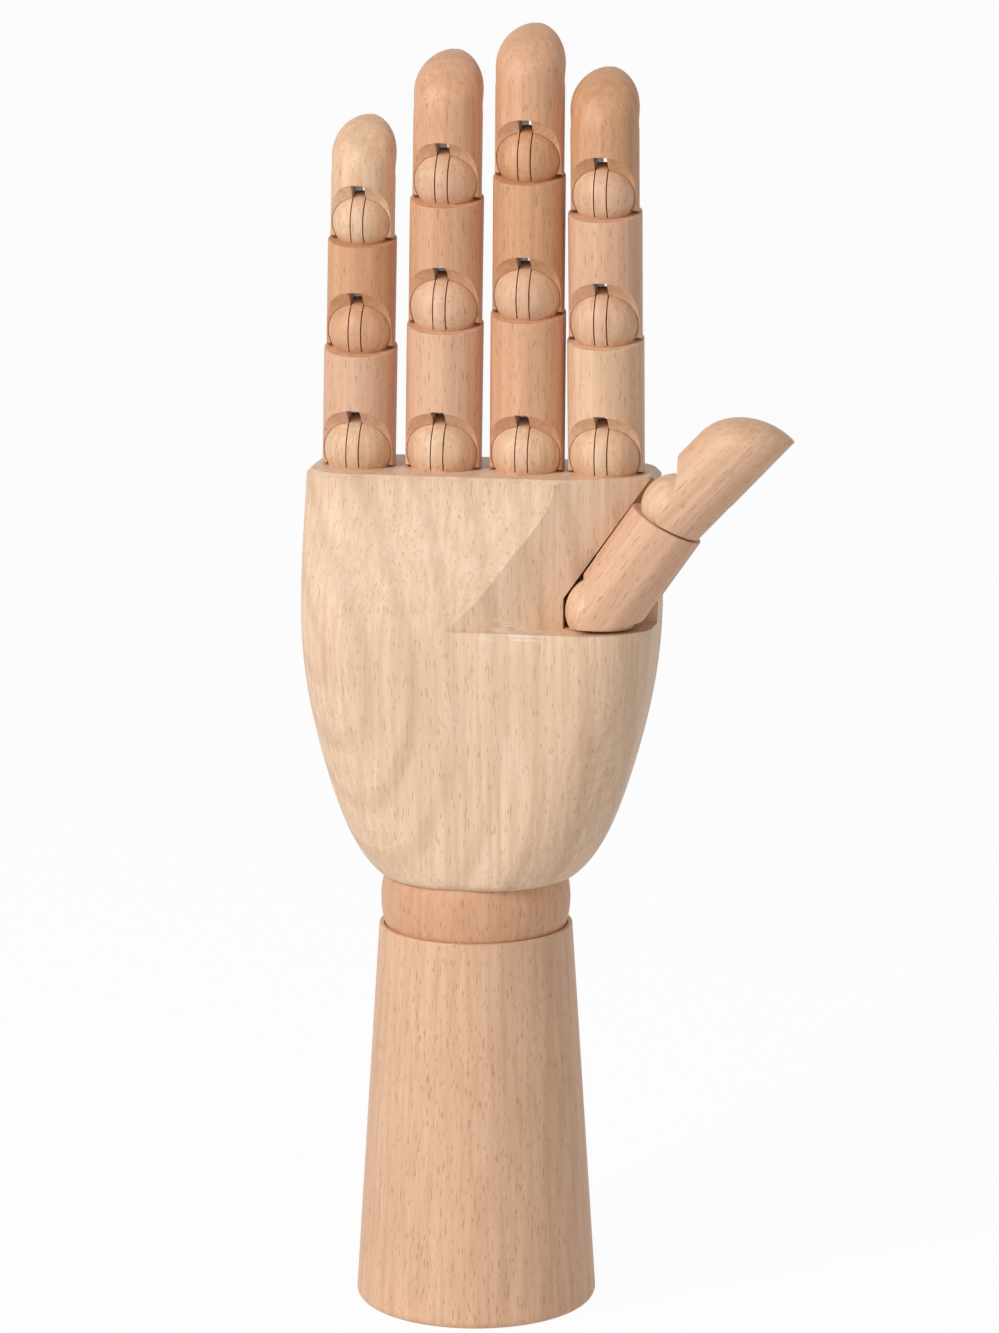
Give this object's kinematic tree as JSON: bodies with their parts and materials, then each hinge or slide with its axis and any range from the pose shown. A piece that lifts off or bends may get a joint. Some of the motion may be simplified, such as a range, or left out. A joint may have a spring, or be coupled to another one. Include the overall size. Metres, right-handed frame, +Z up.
{
  "type": "artist's hand mannequin",
  "caption": "Jointed wooden hand on a turned forearm stand, with slotted ball hinges in fingers and thumb and a wrist that turns and tilts.",
  "frame": {"origin": "centre of the foot's underside", "axes": "+Z up along the forearm, palm faces -Y, thumb on the +X side"},
  "size_m": [0.126, 0.0624, 0.3307],
  "materials": {
    "beech": "smooth sanded beech, satin",
    "steel": "plain steel"
  },
  "bodies": {
    "forearm": {"forearm": "beech", "foot_plug": "beech"},
    "wrist": {"wrist_ball": "beech", "wrist_pin": "steel", "wrist_bolt": "steel", "wrist_spring_disc": "steel", "wrist_nut": "steel"},
    "palm": {"palm": "beech", "wrist_tongue": "beech", "finger_base_balls": "beech", "thumb_base_ball": "beech", "base_hinge_pins": "steel"},
    "little_proximal_body": {"little_proximal": "beech", "little_base_plates": "steel", "little_middle_ball": "beech", "little_middle_pin": "steel"},
    "little_middle_body": {"little_middle": "beech", "little_middle_plates": "steel", "little_tip_ball": "beech", "little_tip_pin": "steel"},
    "little_tip_body": {"little_tip": "beech", "little_tip_plates": "steel"},
    "ring_proximal_body": {"ring_proximal": "beech", "ring_base_plates": "steel", "ring_middle_ball": "beech", "ring_middle_pin": "steel"},
    "ring_middle_body": {"ring_middle": "beech", "ring_middle_plates": "steel", "ring_tip_ball": "beech", "ring_tip_pin": "steel"},
    "ring_tip_body": {"ring_tip": "beech", "ring_tip_plates": "steel"},
    "middle_proximal_body": {"middle_proximal": "beech", "middle_base_plates": "steel", "middle_middle_ball": "beech", "middle_middle_pin": "steel"},
    "middle_middle_body": {"middle_middle": "beech", "middle_middle_plates": "steel", "middle_tip_ball": "beech", "middle_tip_pin": "steel"},
    "middle_tip_body": {"middle_tip": "beech", "middle_tip_plates": "steel"},
    "index_proximal_body": {"index_proximal": "beech", "index_base_plates": "steel", "index_middle_ball": "beech", "index_middle_pin": "steel"},
    "index_middle_body": {"index_middle": "beech", "index_middle_plates": "steel", "index_tip_ball": "beech", "index_tip_pin": "steel"},
    "index_tip_body": {"index_tip": "beech", "index_tip_plates": "steel"},
    "thumb_proximal_body": {"thumb_proximal": "beech", "thumb_base_plates": "steel", "thumb_tip_ball": "beech", "thumb_tip_pin": "steel"},
    "thumb_tip_body": {"thumb_tip": "beech", "thumb_tip_plates": "steel"}
  },
  "joints": [
    {"name": "wrist_turn", "type": "hinge", "parent": "forearm", "child": "wrist", "pos_m": [0, 0, 0.1071], "axis": [0, 0, 1], "continuous": true},
    {"name": "wrist_tilt", "type": "hinge", "parent": "wrist", "child": "palm", "pos_m": [0, 0, 0.1071], "axis": [1, 0, 0], "range_deg": [-20, 20]},
    {"name": "little_base_bend", "type": "hinge", "parent": "palm", "child": "little_proximal_body", "pos_m": [-0.0297, -0.002, 0.2235], "axis": [0.9998, 0, -0.0209], "range_deg": [0, 60]},
    {"name": "little_middle_bend", "type": "hinge", "parent": "little_proximal_body", "child": "little_middle_body", "pos_m": [-0.02906, -0.002, 0.25389], "axis": [0.9998, 0, -0.0209], "range_deg": [0, 80]},
    {"name": "little_tip_bend", "type": "hinge", "parent": "little_middle_body", "child": "little_tip_body", "pos_m": [-0.02849, -0.002, 0.28129], "axis": [0.9998, 0, -0.0209], "range_deg": [0, 75]},
    {"name": "ring_base_bend", "type": "hinge", "parent": "palm", "child": "ring_proximal_body", "pos_m": [-0.0079, -0.002, 0.2235], "axis": [0.9999, 0, -0.0157], "range_deg": [0, 60]},
    {"name": "ring_middle_bend", "type": "hinge", "parent": "ring_proximal_body", "child": "ring_middle_body", "pos_m": [-0.00732, -0.002, 0.26029], "axis": [0.9999, 0, -0.0157], "range_deg": [0, 80]},
    {"name": "ring_tip_bend", "type": "hinge", "parent": "ring_middle_body", "child": "ring_tip_body", "pos_m": [-0.00683, -0.002, 0.29189], "axis": [0.9999, 0, -0.0157], "range_deg": [0, 75]},
    {"name": "middle_base_bend", "type": "hinge", "parent": "palm", "child": "middle_proximal_body", "pos_m": [0.0136, -0.002, 0.2235], "axis": [1, 0, -0.007], "range_deg": [0, 60]},
    {"name": "middle_middle_bend", "type": "hinge", "parent": "middle_proximal_body", "child": "middle_middle_body", "pos_m": [0.01388, -0.002, 0.2635], "axis": [1, 0, -0.007], "range_deg": [0, 80]},
    {"name": "middle_tip_bend", "type": "hinge", "parent": "middle_middle_body", "child": "middle_tip_body", "pos_m": [0.01412, -0.002, 0.2979], "axis": [1, 0, -0.007], "range_deg": [0, 75]},
    {"name": "index_base_bend", "type": "hinge", "parent": "palm", "child": "index_proximal_body", "pos_m": [0.0338, -0.002, 0.2235], "axis": [1, 0, 0.0087], "range_deg": [0, 60]},
    {"name": "index_middle_bend", "type": "hinge", "parent": "index_proximal_body", "child": "index_middle_body", "pos_m": [0.03351, -0.002, 0.2573], "axis": [1, 0, 0.0087], "range_deg": [0, 80]},
    {"name": "index_tip_bend", "type": "hinge", "parent": "index_middle_body", "child": "index_tip_body", "pos_m": [0.03323, -0.002, 0.2891], "axis": [1, 0, 0.0087], "range_deg": [0, 75]},
    {"name": "thumb_base_swing", "type": "hinge", "parent": "palm", "child": "thumb_proximal_body", "pos_m": [0.0348, -0.0145, 0.1859], "axis": [0, 1, 0], "range_deg": [0, 8]},
    {"name": "thumb_tip_bend", "type": "hinge", "parent": "thumb_proximal_body", "child": "thumb_tip_body", "pos_m": [0.05341, -0.0145, 0.21267], "axis": [0, -1, 0], "range_deg": [0, 30]}
  ]
}
